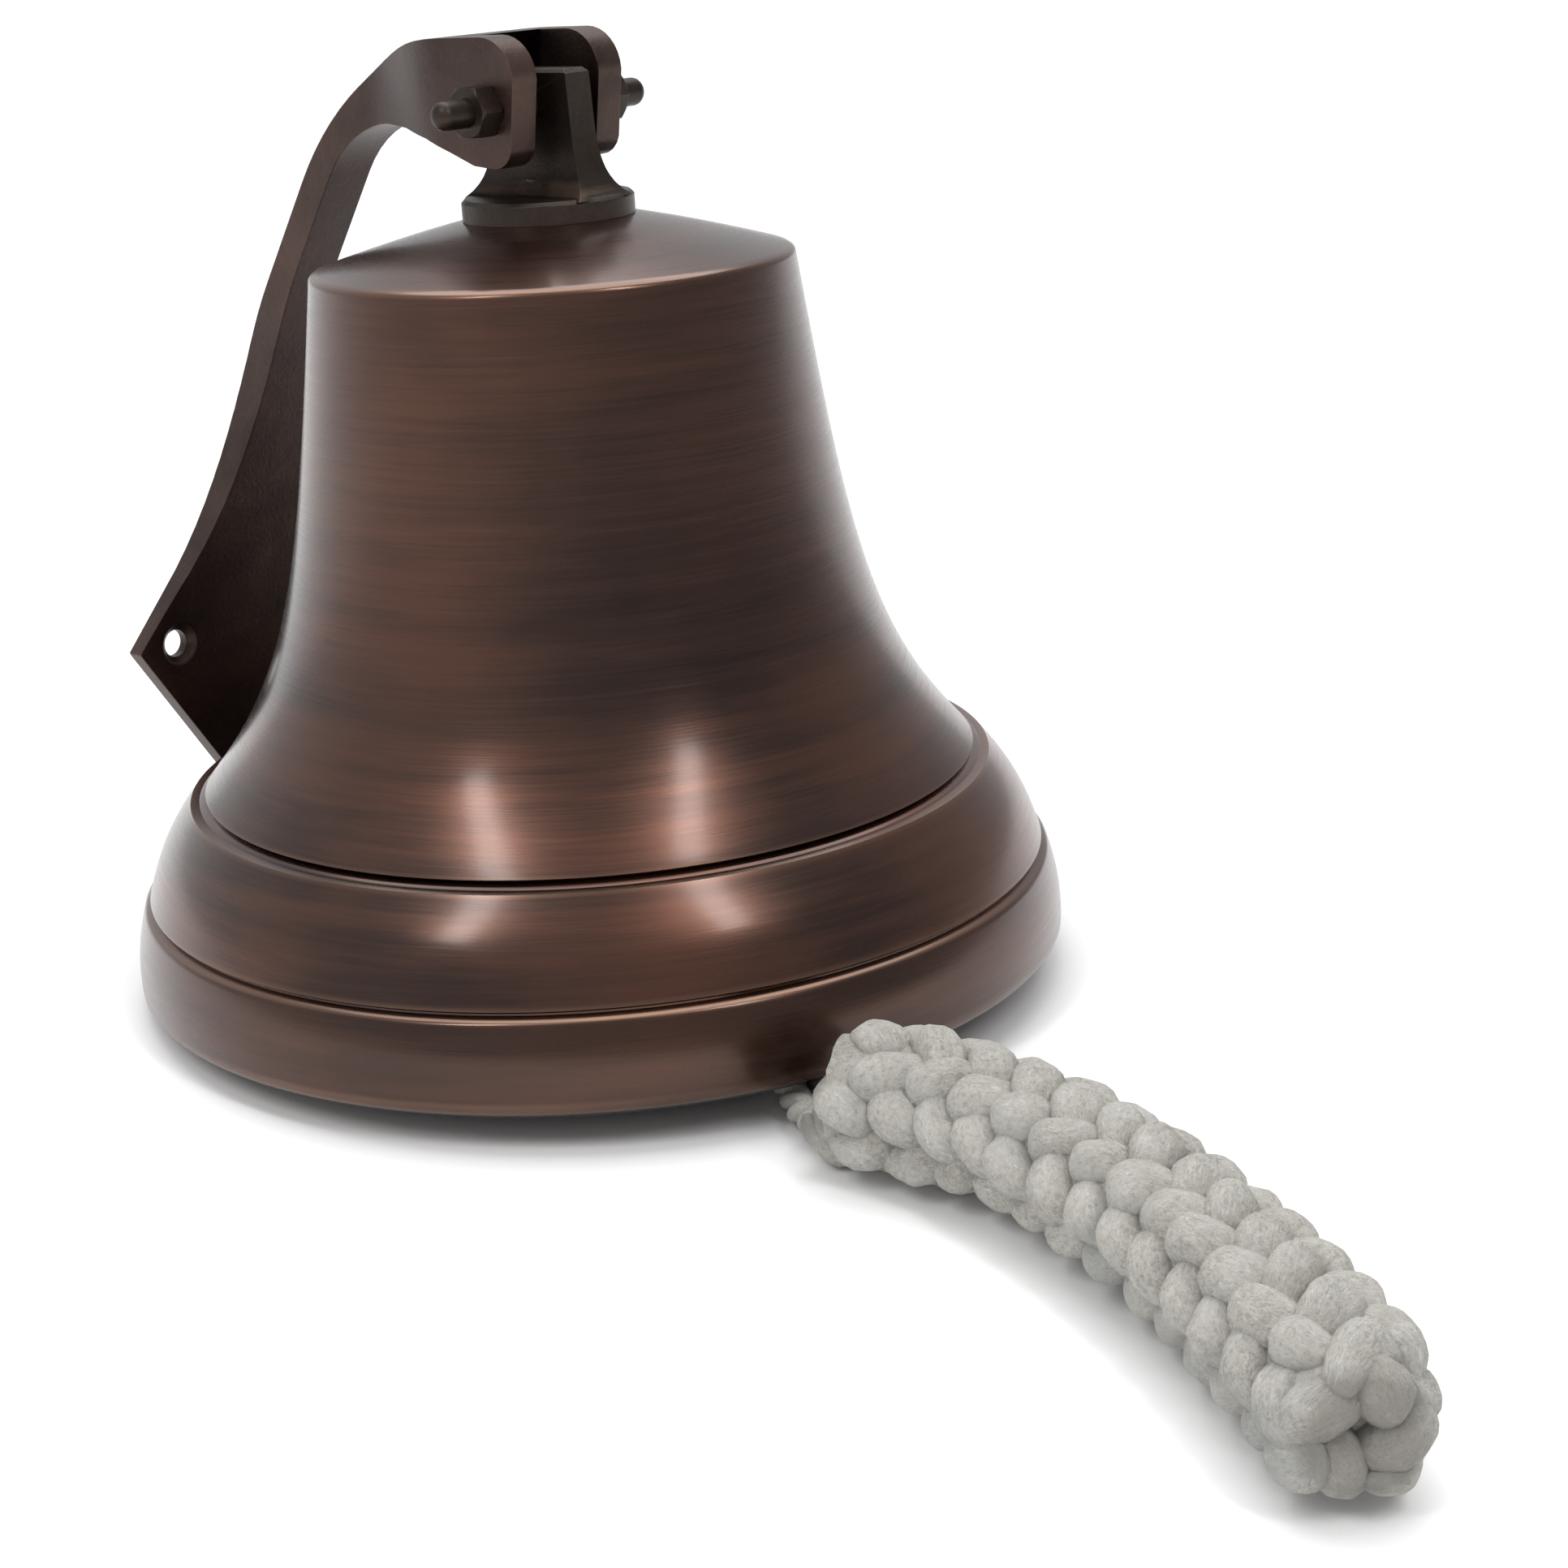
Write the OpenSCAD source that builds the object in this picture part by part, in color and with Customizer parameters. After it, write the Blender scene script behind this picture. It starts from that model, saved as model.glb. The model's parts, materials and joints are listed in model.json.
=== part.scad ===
// Wall-mounted ship bell with a forked bracket, a hinged hanger, a clapper and a
// crown-sennit lanyard. The bell stands on its rim: its back edge is on the surface,
// its front edge rests on the lanyard's doubled cord, and the bracket hangs behind it.
// Millimetres, +Z up, hinge axis along X, bracket towards +Y, lanyard towards -Y.

/* [Bell] */
// Widest outside radius of the rim
rim_r = 104; // [95:0.5:110]
// Height of the sharp shoulder edge above the lip
shoulder_z = 155.6; // [150:0.1:162]
// Outside radius at the shoulder edge
shoulder_r = 51.8; // [48:0.1:54]
// Height of the lower turned groove above the lip
low_groove_z = 22; // [19:0.5:25]
// Height of the upper turned groove above the lip
high_groove_z = 44; // [42:0.5:47]
// Height of the flat seat on top of the crown
crown_z = 164.5; // [163:0.1:166]
// How far the bell leans back towards the bracket, in degrees
bell_lean = 2.2; // [2:0.1:3]

/* [Hanger and hinge] */
// Height of the hinge axis above the lip
pin_z = 188; // [186:0.5:190]
// Thickness of the hanger's upright lug
lug_t = 7; // [6:0.5:8]
// Radius of the hanger's round flange
flange_r = 18.4; // [17:0.1:20]
// Radius of the hinge stud
stud_r = 3; // [2.5:0.1:3.5]
// Whole length of the hinge stud
stud_len = 60; // [56:1:64]
// Size of the hinge nuts across their flats
nut_af = 10; // [9:0.5:11]

/* [Bracket] */
// Distance from the hinge axis to the wall
wall_y = 111.3; // [111:0.1:114]
// Outside width of the fork
fork_w = 32; // [30:1:34]
// Clear gap between the fork's ears
fork_gap = 18; // [16:0.5:20]
// Width of the arm at its narrowest
arm_w = 12; // [11:0.5:14]
// Thickness of the wall plate
plate_t = 4.5; // [4:0.1:5.5]
// Half the width of the wall plate at its two corners
plate_hw = 42.7; // [39:0.1:44]
// Radius of the screw holes
screw_r = 3.2; // [3:0.1:3.5]
// How far the hanging bracket leans from upright, in degrees
bracket_tilt = 2.85; // [2.8:0.05:3.5]

/* [Clapper] */
// Radius of the clapper's ball
ball_r = 14; // [12:0.5:15]
// Radius of the clapper's rod
rod_r = 4; // [3.5:0.5:5]
// Radius of the two clapper pins
link_pin_r = 2.5; // [2:0.5:3]

/* [Lanyard] */
// Radius of the thick sennit
sennit_r = 14.2; // [13.5:0.1:16]
// Radius of the doubled cord that ties it to the clapper
cord_r = 3.4; // [3:0.1:3.5]

/* [Hidden] */
$fn = 96;
// Running clearance of a pin in its hole, all round
run_gap = 0.05;
eps = 0.01;

// --- Where things stand -------------------------------------------------------
lip_out_r = 99;
// The lip's back edge touches the surface, so the bell's frame is lifted by this much.
lift = lip_out_r * sin(bell_lean);
// Turns a point (y, z) of the bell's own frame into the leaning frame.
function leant(y, z) = [
    y * cos(bell_lean) + z * sin(bell_lean),
    lift - y * sin(bell_lean) + z * cos(bell_lean)
];
pin_at = leant(0, pin_z);
// Side outline of the bracket's back, as (y, z) from the hinge axis: an arch over the ears,
// a straight slope, and an arc that turns down along the wall.
ear_top = 14.8;
arch_y = 13;
arch_r = 74;
arm_slope = 54.5;
foot_r = 115;
arch_c = [arch_y, ear_top - arch_r];
arch_end = arch_c + arch_r * [sin(arm_slope), cos(arm_slope)];
foot_back_y = wall_y - foot_r * (1 - sin(arm_slope));
foot_back = [foot_back_y, arch_end[1] - (foot_back_y - arch_end[0]) * tan(arm_slope)];
foot_c = [wall_y - foot_r, foot_back[1] - foot_r * cos(arm_slope)];
back_y = pin_at[0] + foot_c[0] * cos(bracket_tilt) + foot_c[1] * sin(bracket_tilt) + foot_r;
front_y = leant(-rim_r, 5)[0];
// Half way between the front of the rim and the back of the bracket is y = 0.
shift_y = -(back_y + front_y) / 2;

// Puts a piece of the bell's own frame where the leaning bell is.
module on_bell() {
    translate([0, shift_y, lift])
        rotate([-bell_lean, 0, 0])
            children();
}

// Puts a piece made round the hinge axis where the bracket hangs.
module on_bracket() {
    translate([0, pin_at[0] + shift_y, pin_at[1]])
        rotate([-bracket_tilt, 0, 0])
            children();
}

// The points of an arc from angle a0 to a1 round the centre c.
function arc(c, r, a0, a1, n) = [
    for (i = [0:n]) let (a = a0 + (a1 - a0) * i / n) c + r * [cos(a), sin(a)]
];

// A cylinder along X, centred.
module rod_x(r, len) {
    rotate([0, 90, 0])
        cylinder(r = r, h = len, center = true);
}

// A cylinder along Y, centred.
module rod_y(r, len) {
    rotate([90, 0, 0])
        cylinder(r = r, h = len, center = true);
}

// A side outline drawn as (y, z), given a thickness along X.
module side_plate(points, t) {
    rotate([90, 0, 90])
        linear_extrude(height = t, center = true)
            polygon(points);
}

// A front outline drawn as (x, z), given a depth along Y from y0 to y1.
module front_plate(points, y0, y1) {
    translate([0, y1, 0])
        rotate([90, 0, 0])
            linear_extrude(height = y1 - y0)
                polygon(points);
}

function mirrored(half) = concat(half, [for (i = [len(half) - 1:-1:0]) [-half[i][0], half[i][1]]]);

// --- Bell shell -----------------------------------------------------------------
wall_t = 4.5;
band_steps = 8;
body_steps = 32;
// Radius of the waist above the upper groove: a straight taper and a flare.
taper = 0.129;
flare_r = 20.3;
flare_h = 23.5;
function waist_r(z) =
    shoulder_r + taper * (shoulder_z - z) + flare_r * exp(-pow((z - high_groove_z) / flare_h, 1.1));
// Radius of the nearly upright rim band.
function band_r(z) = rim_r + 0.2 - 0.012 * pow(z - 6, 2);
// The inside is a straight taper and a wider, softer flare, with a small edge at the lip.
in_top_z = 152;
in_flare_r = 25.4;
in_flare_h = 60;
lip_edge = 0.8;
ceiling_z = crown_z - wall_t - 1;
function in_r(z) =
    shoulder_r - wall_t + taper * (shoulder_z - z) + in_flare_r * exp(-pow(z / in_flare_h, 2.9));
// The convex band between the grooves bulges from a straight line by this much.
mid_bulge = 1.3;
mid_low = [band_r(low_groove_z) - 0.9, low_groove_z + 0.9];
mid_high = [89.2, high_groove_z - 0.8];
function mid_point(t) = mid_low + (mid_high - mid_low) * t + mid_bulge * sin(180 * t) * [0.87, 0.5];
waist_low_z = high_groove_z + 1.2;
waist_high_z = shoulder_z - 0.6;
crown_hole_r = 5.1;
dome_h = crown_z - shoulder_z;
dome_bow = 1.35;
seat_r = flange_r + 0.4;
function dome_z(r) =
    shoulder_z
    + dome_h * (1 - pow(r / shoulder_r, dome_bow)) / (1 - pow(seat_r / shoulder_r, dome_bow));

shell_profile = concat(
    [[in_r(0) + lip_edge, 0], [lip_out_r, 0], [rim_r - 0.4, 2.6]],
    [for (i = [0:band_steps]) let (z = 3.2 + (low_groove_z - 4.1) * i / band_steps) [band_r(z), z]],
    [[band_r(low_groove_z) - 1.9, low_groove_z]],
    [for (i = [0:band_steps]) mid_point(i / band_steps)],
    [[mid_high[0] - 2.2, high_groove_z - 0.5], [waist_r(high_groove_z + 1) - 1.3, high_groove_z + 0.3]],
    [for (i = [0:body_steps])
        let (z = waist_low_z + (waist_high_z - waist_low_z) * i / body_steps) [waist_r(z), z]],
    [[shoulder_r - 0.5, shoulder_z]],
    [for (i = [1:10]) let (r = shoulder_r - 0.5 + (seat_r + 0.5 - shoulder_r) * i / 10) [r, dome_z(r)]],
    [[seat_r, crown_z], [crown_hole_r, crown_z], [crown_hole_r, ceiling_z]],
    [[20, ceiling_z], [40, in_top_z + 3.2]],
    [for (i = [0:body_steps]) let (z = in_top_z + (1.2 - in_top_z) * i / body_steps) [in_r(z), z]]
);

module bell_shell() {
    color([0.40, 0.22, 0.16])
        on_bell()
            rotate_extrude($fn = 180)
                polygon(shell_profile);
}

// --- Hanger casting: round flange, flared foot and upright lug ---------------------
flange_t = 4.8;
lug_top = pin_z + 7.4;
lug_hy = 11.5;
foot_z = crown_z + flange_t;
foot_steps = 10;
foot_h = 14;
function foot_y(h) = lug_hy + 6 * exp(-h / 6);
function foot_x(h) = lug_t / 2 + 4.4 * exp(-h / 3.2);
function lug_corner(half, cut) = [[half, lug_top - cut], [half - cut, lug_top]];
module hanger_casting() {
    heights = [for (i = [0:foot_steps]) foot_h * i / foot_steps];
    half_side = [for (h = heights) [foot_y(h), foot_z - 0.5 + h]];
    half_front = [for (h = heights) [foot_x(h), foot_z - 0.5 + h]];
    color([0.24, 0.17, 0.13])
        on_bell()
            difference() {
                union() {
                    translate([0, 0, crown_z])
                        cylinder(r = flange_r, h = flange_t - 0.8);
                    translate([0, 0, crown_z + flange_t - 0.8])
                        cylinder(r1 = flange_r, r2 = flange_r - 0.8, h = 0.8);
                    intersection() {
                        side_plate(mirrored(concat(half_side, lug_corner(lug_hy, 1))), 40);
                        front_plate(mirrored(concat(half_front, lug_corner(lug_t / 2, 0.8))), -30, 30);
                    }
                }
                translate([0, 0, pin_z])
                    rod_x(stud_r + run_gap, 40);
                translate([0, 0, crown_z - eps])
                    cylinder(r = 5.02, h = 8.5 + eps);
            }
}

// --- Crown stud: threaded shank up into the hanger, eye below for the clapper -------
eye_z = 140;
eye_t = 5;
shank_r = 5;
module crown_stud() {
    color([0.52, 0.44, 0.28])
        on_bell()
            difference() {
                union() {
                    translate([0, 0, eye_z + 7.5])
                        cylinder(r = shank_r, h = crown_z + 8.4 - eye_z - 7.5);
                    translate([0, 0, eye_z])
                        rod_y(7, eye_t);
                    translate([-4.3, -eye_t / 2, eye_z])
                        cube([8.6, eye_t, 9]);
                }
                translate([0, 0, eye_z])
                    rod_y(link_pin_r + run_gap, 20);
            }
}

washer_t = 1.6;
module crown_washer() {
    color([0.55, 0.47, 0.30])
        on_bell()
            translate([0, 0, ceiling_z - washer_t])
                difference() {
                    cylinder(r = 11, h = washer_t);
                    translate([0, 0, -1])
                        cylinder(r = 5.3, h = washer_t + 2);
                }
}

crown_nut_h = 7;
module crown_nut() {
    color([0.50, 0.42, 0.27])
        on_bell()
            translate([0, 0, ceiling_z - washer_t - crown_nut_h])
                difference() {
                    cylinder(r = 17 / sqrt(3), h = crown_nut_h, $fn = 6);
                    translate([0, 0, -1])
                        cylinder(r = shank_r + 0.02, h = crown_nut_h + 2);
                }
}

// --- Clapper: link, two pins, rod, ball and tail eye --------------------------------
link_len = 17;
cheek_t = 2.5;
swing_z = eye_z - link_len;
tongue_r = 5.6;
block_z = swing_z + tongue_r + 0.3;
block_t = 3.5;
link_gap = eye_t / 2 + 0.4;
// Cheeks either side of the stud's eye, a cross block, and a tongue for the clapper's fork.
module clapper_link() {
    color([0.50, 0.42, 0.27])
        on_bell()
            difference() {
                union() {
                    for (side = [-1, 1])
                        translate([0, side * (link_gap + cheek_t / 2), eye_z])
                            union() {
                                rod_y(6, cheek_t);
                                translate([-6, -cheek_t / 2, block_z - eye_z])
                                    cube([12, cheek_t, eye_z - block_z]);
                            }
                    translate([-6, -link_gap - cheek_t, block_z])
                        cube([12, 2 * (link_gap + cheek_t), block_t]);
                    translate([0, 0, swing_z])
                        rod_x(tongue_r, eye_t);
                    translate([-eye_t / 2, -link_gap - cheek_t, swing_z])
                        cube([eye_t, 2 * (link_gap + cheek_t), block_z - swing_z + 1]);
                }
                translate([0, 0, eye_z])
                    rod_y(link_pin_r + run_gap, 40);
                translate([0, 0, swing_z])
                    rod_x(link_pin_r + run_gap, 40);
            }
}

// A headed pin: shank of length len along Z, a low head at each end.
module headed_pin(len) {
    cylinder(r = link_pin_r, h = len, center = true);
    for (side = [-1, 1])
        translate([0, 0, side * (len / 2 + 0.5)])
            cylinder(r = link_pin_r + 1.2, h = 1, center = true);
}

module link_pin() {
    color([0.60, 0.55, 0.42])
        on_bell()
            translate([0, 0, eye_z])
                rotate([90, 0, 0])
                    headed_pin(2 * (link_gap + cheek_t) + 0.2);
}

// The clapper hangs plumb from its pin, so its pieces are only moved, not leant.
swing_at = leant(0, swing_z);
module on_clapper() {
    translate([0, swing_at[0] + shift_y, swing_at[1]])
        children();
}

module clapper_pin() {
    color([0.60, 0.55, 0.42])
        on_clapper()
            rotate([0, 90, 0])
                headed_pin(2 * (link_gap + cheek_t) + 0.2);
}

ball_drop = 88;
rod_drop = 104.5;
tail_drop = 114;
tail_ring_r = 6.5;
tail_wire_r = 2.2;
fork_drop = 11;
module clapper_rod() {
    color([0.47, 0.40, 0.26])
        on_clapper()
            difference() {
                union() {
                    for (side = [-1, 1])
                        translate([side * (link_gap + cheek_t / 2), 0, 0])
                            union() {
                                rod_x(tongue_r, cheek_t);
                                translate([-cheek_t / 2, -tongue_r, -fork_drop])
                                    cube([cheek_t, 2 * tongue_r, fork_drop]);
                            }
                    translate([-link_gap - cheek_t, -tongue_r, -fork_drop])
                        cube([2 * (link_gap + cheek_t), 2 * tongue_r, 3.6]);
                    translate([0, 0, -rod_drop])
                        cylinder(r = rod_r, h = rod_drop - fork_drop + 0.5);
                }
                rod_x(link_pin_r + run_gap, 40);
            }
}

module clapper_ball() {
    color([0.45, 0.38, 0.25])
        on_clapper()
            translate([0, 0, -ball_drop])
                difference() {
                    union() {
                        sphere(r = ball_r);
                        translate([0, 0, -ball_r - 0.5])
                            cylinder(r = 6.5, h = 4);
                        translate([0, 0, ball_r - 3.5])
                            cylinder(r = 6.5, h = 4);
                    }
                    cylinder(r = rod_r + 0.02, h = 60, center = true);
                }
}

// Ring on a short neck at the end of the rod: the lanyard's cord is looped through it.
module clapper_eye() {
    color([0.47, 0.40, 0.26])
        on_clapper()
            union() {
                translate([0, 0, -rod_drop - 3])
                    cylinder(r = 3.4, h = 3);
                translate([0, 0, -tail_drop])
                    rotate([0, 90, 0])
                        rotate_extrude()
                            translate([tail_ring_r, 0])
                                circle(r = tail_wire_r, $fn = 48);
            }
}

// --- Bracket ------------------------------------------------------------------------
// Side outline, drawn as (y, z) from the hinge axis: ear, arch, arm and wall plate.
ear_front = -9;
ear_chin = -7;
ear_low = -12;
ear_brow_r = 9;
ear_chin_r = 5.5;
arm_t = 7.3;
under_r = 28;
under_top = -3.5;
// A point of the arm's lower line, and the centre of the arc that closes that line under the arch.
under_line = arch_end - arm_t * [sin(arm_slope), cos(arm_slope)];
under_start_z = under_top - under_r * (1 - cos(arm_slope));
under_start_y = under_line[0] + (under_line[1] - under_start_z) / tan(arm_slope);
under_c = [under_start_y - under_r * sin(arm_slope), under_top - under_r];
front_r = 160;
front_y1 = wall_y - plate_t;
front_y0 = front_y1 - front_r * (1 - sin(arm_slope));
front_start = [front_y0, under_line[1] - (front_y0 - under_line[0]) * tan(arm_slope)];
plate_low = -181;
bracket_side = concat(
    arc([ear_front + ear_brow_r, ear_top - ear_brow_r], ear_brow_r, 180, 90, 8),
    arc(arch_c, arch_r, 90, 90 - arm_slope, 16),
    arc(foot_c, foot_r, 90 - arm_slope, 0, 16),
    [[wall_y, plate_low - 1], [front_y1, plate_low - 1]],
    arc([front_y1 - front_r, front_start[1] - front_r * cos(arm_slope)], front_r, 0, 90 - arm_slope, 16),
    arc(under_c, under_r, 90 - arm_slope, 90, 8),
    [[30, under_top - 0.5], [20, under_top - 2.4], [12, -8.6], [5, ear_low + 0.7]],
    arc([ear_chin + ear_chin_r, ear_low + ear_chin_r], ear_chin_r, 270, 180, 5)
);

// Plan outline (x, y): the fork's ears close in to the narrow arm, and the plate is wide again.
arm_hw = arm_w / 2;
neck_swell = 0.1;
neck_steps = 14;
neck_y0 = 13;
neck_y1 = 50;
function ease(t) = (1 - cos(180 * t)) / 2;
bracket_plan = mirrored(concat(
    [[fork_w / 2, -20]],
    [for (i = [0:neck_steps]) let (t = i / neck_steps)
        [fork_w / 2 + (arm_hw - fork_w / 2) * ease(t), neck_y0 + (neck_y1 - neck_y0) * t]],
    [[arm_hw + neck_swell, 75], [plate_hw + 8, 77], [plate_hw + 8, 130]]
));

// Front outline (x, z): narrow arm flaring to the plate's two corners, then in to its foot.
flare_top = -52.5;
flare_arc_r = 80;
flare_turn = 42;
corner_z = -122.9;
tip_r = 10;
tip_turn = 32;
bracket_front = mirrored(concat(
    [[fork_w / 2 + 1, 20], [fork_w / 2 + 1, -14], [arm_hw + neck_swell, -15.5]],
    arc([arm_hw + neck_swell + flare_arc_r, flare_top], flare_arc_r, 180, 180 + flare_turn, 10),
    [[plate_hw - 0.6, corner_z + 0.7], [plate_hw, corner_z], [plate_hw - 0.4, corner_z - 0.8]],
    arc([0, plate_low + tip_r], tip_r, -tip_turn, -90, 6)
));

// Screw holes in the wall plate, as (x, z) from the hinge axis.
screws = [[-31, corner_z], [31, corner_z], [0, -165]];
sink_r = 5;
// The slot between the ears is round at its closed end, clear of the hanger's lug and foot.
slot_r = 16.5;
module bracket() {
    color([0.36, 0.21, 0.16])
        on_bracket()
            difference() {
                intersection() {
                    side_plate(bracket_side, 100);
                    translate([0, 0, -200])
                        linear_extrude(height = 230)
                            polygon(bracket_plan);
                    front_plate(bracket_front, -40, 140);
                }
                // the slot between the ears
                rod_x(slot_r, fork_gap);
                translate([-fork_gap / 2, -20, -20])
                    cube([fork_gap, 20, 40]);
                rod_x(stud_r + run_gap, 60);
                for (s = screws)
                    translate([s[0], wall_y, s[1]])
                        rotate([90, 0, 0])
                            union() {
                                translate([0, 0, -5])
                                    cylinder(r = screw_r, h = 20);
                                translate([0, 0, plate_t - (sink_r - screw_r)])
                                    cylinder(r1 = screw_r, r2 = sink_r + 1, h = sink_r + 1 - screw_r);
                            }
            }
}

// --- Hinge stud and nuts ---------------------------------------------------------------
stud_end = 2.4;
module hinge_stud() {
    half = stud_len / 2;
    color([0.22, 0.17, 0.13])
        on_bracket()
            rotate([0, 90, 0])
                rotate_extrude()
                    polygon(concat(
                        [[0, -half]],
                        [for (i = [1:5]) [stud_r * sin(18 * i), -half + stud_end * (1 - cos(18 * i))]],
                        [for (i = [5:-1:1]) [stud_r * sin(18 * i), half - stud_end * (1 - cos(18 * i))]],
                        [[0, half]]
                    ));
}

nut_t = 5.5;
module hinge_nut(side) {
    color([0.24, 0.18, 0.14])
        on_bracket()
            translate([side * (fork_w / 2 + nut_t / 2), 0, 0])
                rotate([0, 90, 0])
                    difference() {
                        intersection() {
                            rotate([0, 0, 30])
                                cylinder(r = nut_af / sqrt(3), h = nut_t, center = true, $fn = 6);
                            rotate_extrude()
                                polygon([
                                    [0, -nut_t / 2],
                                    [nut_af / 2, -nut_t / 2],
                                    [nut_af / 2 + 1.2, -nut_t / 2 + 0.8],
                                    [nut_af / 2 + 1.2, nut_t / 2 - 0.8],
                                    [nut_af / 2, nut_t / 2],
                                    [0, nut_t / 2]
                                ]);
                        }
                        cylinder(r = stud_r + 0.02, h = 20, center = true);
                    }
}

module hinge_nut_left() {
    hinge_nut(-1);
}

module hinge_nut_right() {
    hinge_nut(1);
}

// --- Lanyard ------------------------------------------------------------------------------
// Sweeps an n-sided tube of radius r along the points of a route. A ring lies square to the
// route, with one corner straight down.
function route_way(p, i) = let (
    a = p[max(i - 1, 0)],
    b = p[min(i + 1, len(p) - 1)]
) (b - a) / norm(b - a);
function ring_at(p, i, r, n) = let (
    d = route_way(p, i),
    s = cross(d, [0, 0, 1]) / norm(cross(d, [0, 0, 1])),
    u = cross(s, d)
) [for (k = [0:n - 1]) let (a = 360 * k / n - 90) p[i] + r * (cos(a) * s + sin(a) * u)];
module tube(p, r, n) {
    last = len(p) - 1;
    rings = [for (i = [0:last]) each ring_at(p, i, r, n)];
    sides = [for (i = [0:last - 1]) for (k = [0:n - 1]) let (m = (k + 1) % n)
        each [[i * n + k, i * n + m, (i + 1) * n + m], [i * n + k, (i + 1) * n + m, (i + 1) * n + k]]];
    ends = [[for (k = [n - 1:-1:0]) k], [for (k = [0:n - 1]) last * n + k]];
    polyhedron(points = rings, faces = concat(ends, sides));
}

// The sennit's middle line on the surface, from its inner end just outside the rim to its cut end.
sennit_route = [
    [-49.5, -114], [-46, -123], [-43.5, -132.5], [-42, -142], [-42.5, -152], [-44, -161.5],
    [-47, -171], [-50, -180.5], [-53.5, -189.5], [-57, -198.5], [-61, -207.5], [-66, -216],
    [-71, -224.5], [-76, -232.5], [-81.5, -241], [-87, -249], [-93.5, -256.5]
];
sennit_z = sennit_r + 0.1;
module lanyard_sennit() {
    color([0.80, 0.78, 0.72])
        tube([for (q = sennit_route) [q[0], q[1], sennit_z]], sennit_r, 12);
}

// The doubled cord's middle line, from the sennit under the rim to the clapper's eye, as
// (x, y, z, half the distance between its two runs).
neck_route = [
    [-47.5, -119.5, 8, 3.6], [-46, -115.5, 7.4, 3.6], [-44.5, -111.5, 6.6, 3.6],
    [-42, -107.5, 5.4, 3.6], [-39.5, -103.5, 4.3, 3.6], [-36.5, -99.5, 3.6, 3.6],
    [-33.5, -95.5, 3.5, 3.6], [-28, -88, 3.5, 3.6], [-21, -77.5, 3.5, 3.6], [-14, -65, 3.5, 3.8],
    [-8.5, -51.5, 4, 5], [-4, -38.5, 6.5, 8], [-1.5, -28, 9.5, 11], [-0.5, -20, 11.7, 13]
];
tail_at = [0, swing_at[0] + shift_y, swing_at[1] - tail_drop];
// The turn goes through the middle of the eye, in a bend two diameters in radius.
turn_r = 4 * cord_r;
turn_c = tail_at - [0, turn_r, 0];
function neck_run(i, side) = let (
    q = neck_route[i],
    a = neck_route[max(i - 1, 0)],
    b = neck_route[min(i + 1, len(neck_route) - 1)],
    d = [b[0] - a[0], b[1] - a[1]] / norm([b[0] - a[0], b[1] - a[1]])
) [q[0] + side * q[3] * d[1], q[1] - side * q[3] * d[0], q[2]];
last_neck = len(neck_route) - 1;
turn_steps = 8;
loop_route = concat(
    [for (i = [0:last_neck]) neck_run(i, 1)],
    [for (i = [0:turn_steps]) let (a = 180 * i / turn_steps) turn_c + turn_r * [cos(a), sin(a), 0]],
    [for (i = [last_neck:-1:0]) neck_run(i, -1)]
);
module lanyard_loop() {
    color([0.78, 0.76, 0.70])
        tube(loop_route, cord_r, 8);
}

bell_shell();
hanger_casting();
crown_stud();
crown_washer();
crown_nut();
clapper_link();
link_pin();
clapper_pin();
clapper_rod();
clapper_ball();
clapper_eye();
bracket();
hinge_stud();
hinge_nut_left();
hinge_nut_right();
lanyard_sennit();
lanyard_loop();
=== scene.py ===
"""Looks of the ship bell: turned antique-copper shell, forked bracket, clapper and cotton lanyard.

Everything is in metres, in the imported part's own frame: +Z up, the hinge stud along X, the bracket
towards +Y and the lanyard towards -Y. Sizes written in millimetres are multiplied by MM.
"""

import json
import math
import random

import bpy
import numpy as np
from mathutils import Matrix, Vector, noise


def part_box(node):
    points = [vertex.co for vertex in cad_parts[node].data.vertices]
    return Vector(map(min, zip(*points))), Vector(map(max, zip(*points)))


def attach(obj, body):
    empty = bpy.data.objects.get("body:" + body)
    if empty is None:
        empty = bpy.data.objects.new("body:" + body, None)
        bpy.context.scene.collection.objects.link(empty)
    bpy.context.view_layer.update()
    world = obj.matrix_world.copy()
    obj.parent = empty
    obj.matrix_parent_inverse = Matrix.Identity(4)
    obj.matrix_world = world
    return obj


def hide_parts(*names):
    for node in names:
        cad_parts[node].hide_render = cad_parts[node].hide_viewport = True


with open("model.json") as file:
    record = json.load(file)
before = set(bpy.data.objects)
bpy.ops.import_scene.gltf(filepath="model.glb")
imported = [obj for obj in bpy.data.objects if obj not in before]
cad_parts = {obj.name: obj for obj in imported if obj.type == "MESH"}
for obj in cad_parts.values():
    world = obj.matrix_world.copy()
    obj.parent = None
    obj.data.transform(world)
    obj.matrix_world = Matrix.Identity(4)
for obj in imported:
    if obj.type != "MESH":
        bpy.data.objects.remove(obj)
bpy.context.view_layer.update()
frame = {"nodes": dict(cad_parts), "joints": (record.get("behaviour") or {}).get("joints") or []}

MM = 0.001
SHARP_DEG = 32
scene = bpy.context.scene
scene.view_settings.view_transform = "Standard"

# --- Where things stand ---------------------------------------------------------------------------
LEAN = math.radians(2.2)
LIP_OUT_R = 99.0
LIFT = LIP_OUT_R * math.sin(LEAN)
PIN_Z = 188.0
hinge_at = next(j for j in frame["joints"] if j["name"] == "bracket_swing")["pos_m"]
# The hinge axis is on the bell's own axis, so it says where the leaning bell stands.
SHIFT_Y = hinge_at[1] / MM - PIN_Z * math.sin(LEAN)


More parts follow.
